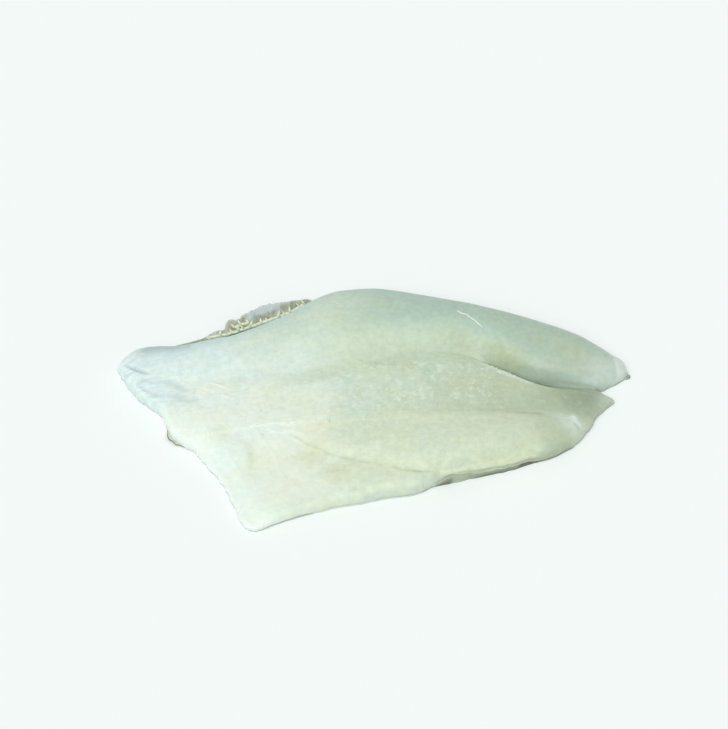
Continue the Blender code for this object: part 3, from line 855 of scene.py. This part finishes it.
# Painted shade: the rolled strip is drawn darker towards the table and paler at its rim.
uneven_climb = nodes.plus(climbed, nodes.swayed(mottles, 0.5))
rolled_tone = nodes.mix(nodes.ramp(nodes.value("roll_along"), 0.1, 0.5), ROLLED_PALE, ROLLED_GREY)
rolled_tone = nodes.mix(nodes.times(nodes.ramp(uneven_climb, 0.7, 1.1), 0.5), rolled_tone, ROLLED_RIM)
colour = nodes.mix(nodes.value("rolled"), colour, rolled_tone)
# The rolled strip's two ends and the torn rims are drawn near black: dark skin, with painted shade deepest at
# the strip's ends.
low_dark = nodes.less(1.0, nodes.ramp(uneven_climb, 0.45, 1.1))
dark_share = nodes.math("MAXIMUM", nodes.times(nodes.value("roll_start"), low_dark), nodes.value("roll_end"))
torn_rim = nodes.times(nodes.math("MAXIMUM", at_rim, outer_side), nodes.ramp(mottles, 0.35, 0.55))
dark_share = nodes.math("MAXIMUM", dark_share, nodes.times(nodes.value("torn"), torn_rim))
colour = nodes.mix(nodes.times(dark_share, 0.8), colour, DARK_EDGE)
scale_height = nodes.less(nodes.wet(90.0, 1500.0, 0.28, 0.5), scales)
skin.data.materials.append(nodes.finished(colour, scale_height, 0.6, 0.00012,
                                          {"Coat Weight": 0.25, "Coat Roughness": 0.2}))
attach(skin, "root")
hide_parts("skin")

# ---- The membrane at the fins' base ----
# What is left of the back fin's web where the knife ran along its bones: a thin clear skin in three lobes,
# pleated between the stumps of the rays, that grows out of the skin's edge and leans up and out.
FIN_STAND_OFF = 0.35
FIN_FOOT = SKIN_THICKNESS + 0.5
FIN_RISE = 0.36
FIN_THICKNESS = 0.22
FIN_PLEAT = 0.12
FIN_PLEAT_LENGTH = 3.1
FIN_COLUMNS, FIN_ROWS = 240, 16
# The web's width at these places along X.
FIN_WIDTHS = ((-89, 0.5), (-87, 1.5), (-81, 1.9), (-77, 2.2), (-73.5, 2.8), (-71.5, 4.0), (-68.5, 4.6),
              (-66.6, 4.5), (-65.2, 5.0), (-64, 6.8), (-62.6, 8.0), (-60.8, 8.5), (-59, 8.4), (-57.2, 7.8),
              (-54.6, 8.6), (-51, 9.7), (-45, 10.3), (-40.5, 9.6), (-36, 8.7), (-33.5, 8.2), (-31, 7.0),
              (-28, 5.6), (-26, 4.4), (-23.5, 0.5))
FIN_START, FIN_END = FIN_WIDTHS[0][0], FIN_WIDTHS[-1][0]

back_edge = smooth_line(GUIDES[4], np.linspace(0, 1, 1200))
back_edge = back_edge[(back_edge[:, 0] > FIN_START) & (back_edge[:, 0] < FIN_END)]
fin_path = smooth_line(back_edge[::12], np.linspace(0, 1, FIN_COLUMNS + 1))
run = np.gradient(fin_path, axis=0)
fin_out = np.column_stack([-run[:, 1], run[:, 0]]) / np.linalg.norm(run, axis=1, keepdims=True)
widths = smooth_line(FIN_WIDTHS, np.linspace(0, 1, 300))
fin_width = np.interp(fin_path[:, 0], widths[:, 0], widths[:, 1])
fin_width = fin_width * (1 + 0.06 * grain(fin_path[:, 0] / 1.6, fin_path[:, 1] / 9, 61))
reach = np.linspace(0, 1, FIN_ROWS + 1)
loose = reach * np.minimum(fin_width / 6, 1)[:, None]
spread_out = FIN_STAND_OFF + fin_width[:, None] * reach
places = fin_path[:, None] + fin_out[:, None] * spread_out[..., None]
uneven_pleats = places[..., 0] / FIN_PLEAT_LENGTH + 0.8 * grain(places[..., 0] / 4, places[..., 1] / 9, 63)
pleats = FIN_PLEAT * np.sin(2 * math.pi * uneven_pleats)
ripples = 0.35 * grain(places[..., 0] / 5, places[..., 1] / 4, 62)
fin_height = FIN_FOOT + FIN_RISE * spread_out + (pleats + ripples) * loose
fin_top = with_height(places + shift, fin_height)[::-1, ::-1]
fin_masks = {
    "reach": np.broadcast_to(reach, fin_height.shape),
    "from_meat": spread_out + 2 * fade((fin_width[:, None] - 2) / 2),
    "blue_lobe": between(places[..., 0], -55, -43.5, 3) + 0.7 * between(places[..., 0], -74, -70, 2),
}
mesh = closed_mesh("fin_membrane", fin_top, [], fin_top - (0, 0, FIN_THICKNESS),
                   {label: [mask[::-1, ::-1]] * 2 for label, mask in fin_masks.items()})
fin = in_scene("fin_membrane", mesh)

FIN_ROOT = display(96, 106, 80)
FIN_OLIVE = display(156, 165, 138)
FIN_TAN = display(182, 188, 165)
FIN_BLUE = display(196, 210, 212)
FIN_PALE = display(206, 214, 204)
nodes = Material("fin_web")
clouds = nodes.noise(nodes.places, 260.0, 4.0, 0.6)
reach_out = nodes.plus(nodes.value("reach"), nodes.swayed(clouds, 0.9))
colour = nodes.mix(nodes.ramp(clouds, 0.4, 0.6), FIN_OLIVE, FIN_TAN)
colour = nodes.toned(colour, "blue_lobe", FIN_BLUE, nodes.ramp(reach_out, 0.45, 0.8))
veins = nodes.noise(nodes.stretched(nodes.places, (1.0, 0.16, 0.16)), 900.0)
colour = nodes.shaded(colour, veins, 0.86, 1.12)
colour = nodes.mix(nodes.ramp(nodes.value("reach"), 0.86, 1.0), colour, FIN_PALE)
# Painted shade: a dark line at the web's root, in the gap under the meat's edge, over the dark skin there.
root = nodes.less(1.0, nodes.ramp(nodes.value("from_meat"), 1.7, 2.3))
colour = nodes.mix(root, colour, FIN_ROOT)
fin.data.materials.append(nodes.finished(colour, nodes.wet(200.0, 1400.0, 0.22, 0.45), 0.4, 0.0001, {
    "Alpha": nodes.swing(clouds, 0.72, 0.95), "Coat Weight": 0.3}))
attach(fin, "root")

# ---- The stumps of the fin rays ----
# The bony feet of the fin's rays, cut off short: a low pale ridge along the meat's edge with a row of small
# uneven thorns on it, which lean out and towards the head. They grow from the skin.
RIDGE_STEP = 0.0004
RIDGE_FOOT = SKIN_THICKNESS + 0.7
POINTS_SKIPPED = 4
# How far out of the meat's edge the ridge and a shorter one above it run, at these places along X.
RIDGE_PLACES = ((-73.2, 2.0), (-63, 2.6), (-57, 2.6), (-45, 2.8), (-34, 3.2), (-28, 3.2))
UPPER_RIDGE_PLACES = ((-60, 4.8), (-53.5, 5.0))


class GeometryNodes(Nodes):
    """A Geometry Nodes tree with these named inputs. The type of each value gives its socket's."""

    SOCKETS = {float: "NodeSocketFloat", int: "NodeSocketInt", tuple: "NodeSocketVector"}

    def __init__(self, name, sizes):
        super().__init__(bpy.data.node_groups.new(name, "GeometryNodeTree"))
        for way in ("INPUT", "OUTPUT"):
            self.tree.interface.new_socket("Geometry", in_out=way, socket_type="NodeSocketGeometry")
        for label, value in sizes.items():
            self.tree.interface.new_socket(label, in_out="INPUT", socket_type=self.SOCKETS[type(value)])
        self.sizes = sizes
        self.inputs = self.add("NodeGroupInput").outputs

    def made(self, kind, inputs=(), **settings):
        """The first output of a new geometry node."""
        return self.add("GeometryNode" + kind, inputs, **settings).outputs[0]

    def strays(self, low, high):
        """A random vector between two others for each piece."""
        return self.add("FunctionNodeRandomValue", {0: low, 1: high, "Seed": self.inputs["Seed"]},
                        data_type="FLOAT_VECTOR").outputs[0]

    def lumps(self, scale, output="Fac"):
        return self.add("ShaderNodeTexNoise", {"Scale": scale, "Detail": 1.0}).outputs[output]

    def tube(self, path, swell, radius):
        """A closed tube along a path, whose radius is this one times the swell."""
        path = self.made("SetCurveRadius", {"Curve": path, "Radius": swell})
        profile = self.made("CurvePrimitiveCircle", {"Resolution": 8, "Radius": radius})
        return self.made("CurveToMesh", {"Curve": path, "Profile Curve": profile, "Fill Caps": True})

    def plain_mesh(self, base, geometry, material):
        """The plain mesh that the tree makes from a base mesh, in a material, as an object of the scene."""
        smooth = self.made("SetShadeSmooth", {"Geometry": geometry})
        whole = self.made("RealizeInstances", {0: smooth})
        self.add("NodeGroupOutput", {0: self.made("SetMaterial", {"Geometry": whole, "Material": material})})
        obj = in_scene(self.tree.name, base)
        modifier = obj.modifiers.new(obj.name, "NODES")
        modifier.node_group = self.tree
        for item in self.tree.interface.items_tree:
            if item.in_out == "INPUT" and item.name in self.sizes:
                modifier[item.identifier] = self.sizes[item.name]
        bpy.context.view_layer.update()
        evaluated = obj.evaluated_get(bpy.context.evaluated_depsgraph_get())
        mesh = bpy.data.meshes.new_from_object(evaluated)
        obj.modifiers.clear()
        obj.data = mesh
        mesh.name = obj.name
        return obj


def pale_material(name, cloud_scale, light, dark, film, others):
    """A wet whitish material, clouded between two tones."""
    nodes = Material(name)
    clouds = nodes.noise(nodes.places, cloud_scale, 3.0)
    colour = nodes.mix(nodes.ramp(clouds, 0.35, 0.65), light, dark)
    return nodes.finished(colour, nodes.wet(*film), 0.3, 0.0001, others)


def path_mesh(name, paths):
    """A mesh of edges along each of these lines of places."""
    starts = np.cumsum([0] + [len(path) for path in paths]).tolist()
    pairs = [(start + k, start + k + 1) for start, path in zip(starts, paths) for k in range(len(path) - 1)]
    mesh = bpy.data.meshes.new(name)
    mesh.from_pydata((np.vstack(paths) * MM).tolist(), pairs, [])
    return mesh


fin_bone = pale_material("fin_bone", 500.0, display(236, 242, 218), display(214, 221, 192),
                         (300.0, 2500.0, 0.3, 0.5), {"Subsurface Weight": 0.3, "Subsurface Scale": 0.0006})
nodes = GeometryNodes("fin_stumps", {
    "Thorn Spacing": 0.0028, "Thorn Length": 0.0028, "Thorn Radius": 0.0010,
    "Ridge Radius": 0.0008, "Lean": (-0.35, 0.75, 0.6), "Seed": 4})
inputs = nodes.inputs
path = nodes.made("MeshToCurve", {"Mesh": inputs["Geometry"]})
feet = nodes.made("ResampleCurve", {"Curve": path, "Length": inputs["Thorn Spacing"]}, mode="LENGTH")
thorn = nodes.made("MeshCone", {"Vertices": 7, "Radius Top": 0.00005, "Radius Bottom": inputs["Thorn Radius"],
                                "Depth": inputs["Thorn Length"]})
stray = nodes.strays((-0.8, -0.5, -0.5), (0.8, 0.4, 0.4))
way = nodes.add("ShaderNodeVectorMath", {0: inputs["Lean"], 1: stray}, operation="ADD").outputs[0]
turn = nodes.add("FunctionNodeAlignRotationToVector", {"Vector": way}, axis="Z").outputs[0]
thorns = nodes.made("InstanceOnPoints", {"Points": feet, "Instance": thorn, "Rotation": turn,
                                         "Scale": nodes.strays((0.7, 0.7, 0.2), (1.3, 1.3, 1.35))})
ridge_path = nodes.made("ResampleCurve", {"Curve": path, "Length": RIDGE_STEP}, mode="LENGTH")
ridge = nodes.tube(ridge_path, nodes.times(nodes.lumps(700.0), 2.0), inputs["Ridge Radius"])
joined = nodes.add("GeometryNodeJoinGeometry")
nodes.tree.links.new(thorns, joined.inputs[0])
nodes.tree.links.new(ridge, joined.inputs[0])

paths = []
for ridge_places in (RIDGE_PLACES, UPPER_RIDGE_PLACES):
    from_x, to_x = ridge_places[0][0], ridge_places[-1][0]
    kept = np.flatnonzero((fin_path[:, 0] >= from_x) & (fin_path[:, 0] <= to_x))[::POINTS_SKIPPED]
    away = np.interp(fin_path[kept, 0], *np.transpose(ridge_places))
    line = fin_path[kept] + away[:, None] * fin_out[kept]
    line[:, 1] += 0.35 * grain(line[:, 0] / 2, 0 * line[:, 0], 71)
    paths.append(with_height(line + shift, RIDGE_FOOT + FIN_RISE * away))
stumps = nodes.plain_mesh(path_mesh("stump_line", paths), joined.outputs[0], fin_bone)
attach(stumps, "root")

# ---- Scraps of white tissue ----
# Small torn shreds of the rib lining that the knife left on the middle of the meat: soft white tissue, flat
# and clinging by its own wetness. They are strewn where the meat's own mask for scraps says.
white_tissue = pale_material("white_tissue", 300.0, display(238, 244, 233), display(218, 228, 212),
                             (200.0, 2500.0, 0.35, 0.55), {})
nodes = GeometryNodes("tissue_scraps", {"Per Square Metre": 300000.0, "Size": 0.0006, "Seed": 9})
inputs = nodes.inputs
where = nodes.made("InputNamedAttribute", {"Name": "scraps"}, data_type="FLOAT")
crowding = nodes.times(where, nodes.ramp(where, 0.05, 0.3))
scattered = nodes.add("GeometryNodeDistributePointsOnFaces", {
    "Mesh": inputs["Geometry"], "Density": nodes.times(crowding, inputs["Per Square Metre"]),
    "Seed": inputs["Seed"]}, distribute_method="RANDOM").outputs
lens = nodes.made("MeshUVSphere", {"Segments": 7, "Rings": 4, "Radius": inputs["Size"]})
swing_round = nodes.strays((0.0, 0.0, -3.1), (0.0, 0.0, 3.1))
spin = nodes.add("FunctionNodeEulerToRotation", {0: swing_round}).outputs[0]
turn = nodes.add("FunctionNodeRotateRotation", {"Rotation": scattered["Rotation"], "Rotate By": spin},
                 rotation_space="LOCAL").outputs[0]
pieces = nodes.made("InstanceOnPoints", {"Points": scattered["Points"], "Instance": lens, "Rotation": turn,
                                         "Scale": nodes.strays((0.7, 0.35, 0.16), (2.1, 0.8, 0.34))})
pieces = nodes.made("RealizeInstances", {0: pieces})
tear = nodes.lumps(1600.0, "Color")
tear = nodes.add("ShaderNodeVectorMath", {0: tear, 1: (0.5, 0.5, 0.5)}, operation="SUBTRACT").outputs[0]
tear = nodes.add("ShaderNodeVectorMath", {0: tear, "Scale": 0.0009}, operation="SCALE").outputs[0]
pieces = nodes.made("SetPosition", {"Geometry": pieces, "Offset": tear})
tissue = nodes.plain_mesh(meat.data.copy(), pieces, white_tissue)
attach(tissue, "root")

# ---- The tendon on the loin ----
# A short white strand that lies loose on the top of the loin near its back edge, thick in the middle and
# pulled thin at both ends.
TENDON_LINE = [(38.8, 41.9), (40.2, 40.6), (42.4, 39.9), (43.8, 38.6), (46.3, 36.6), (49.6, 33.5)]

tendon_plan = smooth_line(TENDON_LINE, np.linspace(0, 1, 40))
tendon_top = [top.flat[np.argmin(away_from(place, plan))] for place in tendon_plan]
tendon_top = np.convolve(np.pad(tendon_top, 2, mode="edge"), np.full(5, 0.2), mode="valid")
nodes = GeometryNodes("tendon", {"Radius": 0.00036})
path = nodes.made("MeshToCurve", {"Mesh": nodes.inputs["Geometry"]})
share = nodes.made("SplineParameter")
from_ends = nodes.times(share, nodes.less(1.0, share))
swell = nodes.times(nodes.plus(nodes.times(from_ends, 3.0), 0.15), nodes.plus(nodes.lumps(500.0), 0.4))
strand = nodes.tube(path, swell, nodes.inputs["Radius"])
base = path_mesh("tendon_line", [with_height(tendon_plan + shift, tendon_top + 0.1)])
tendon = nodes.plain_mesh(base, strand, white_tissue)
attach(tendon, "root")

# ---- The table, light and camera ----
# A plain pale table top under a broad soft sun, from above and a little to the front left, in an even white
# room. The camera looks down on the fillet from the belly's side.
TABLE_SIZE = 8.0
TABLE_COLOUR = (0.912, 0.955, 0.938, 1)
CAMERA_ELEVATION = math.radians(47)
CAMERA_DISTANCE = 0.620
CAMERA_TARGET = (-0.00425, 0.0260, 0.0)
FOCAL_PIXELS = 1386
PHOTO_HEIGHT = 729
SENSOR = 36.0

bpy.ops.mesh.primitive_plane_add(size=TABLE_SIZE)
table = bpy.context.object
table.name = "table"
nodes = Material("table_top")
nodes.join(nodes.shader, {"Base Color": TABLE_COLOUR, "Roughness": 0.9, "Specular IOR Level": 0.0})
table.data.materials.append(nodes.material)

world = bpy.data.worlds.new("room")
bpy.context.scene.world = world
world.use_nodes = True
world.node_tree.nodes["Background"].inputs["Color"].default_value = (0.985, 1.0, 1.0, 1)
world.node_tree.nodes["Background"].inputs["Strength"].default_value = 0.52

sun = bpy.data.lights.new("window", "SUN")
sun.energy = 1.68
sun.angle = math.radians(60)
window = in_scene("window", sun)
window.rotation_euler = (math.radians(24), math.radians(-14), 0)

camera_data = bpy.data.cameras.new("camera")
camera = in_scene("camera", camera_data)
camera_data.lens = FOCAL_PIXELS / PHOTO_HEIGHT * SENSOR
camera_data.sensor_width = SENSOR
back_off = CAMERA_DISTANCE * math.cos(CAMERA_ELEVATION)
camera.location = (CAMERA_TARGET[0], CAMERA_TARGET[1] - back_off,
                   CAMERA_DISTANCE * math.sin(CAMERA_ELEVATION))
camera.rotation_euler = (math.pi / 2 - CAMERA_ELEVATION, 0, 0)
bpy.context.scene.camera = camera
bpy.context.scene.view_settings.view_transform = "Standard"
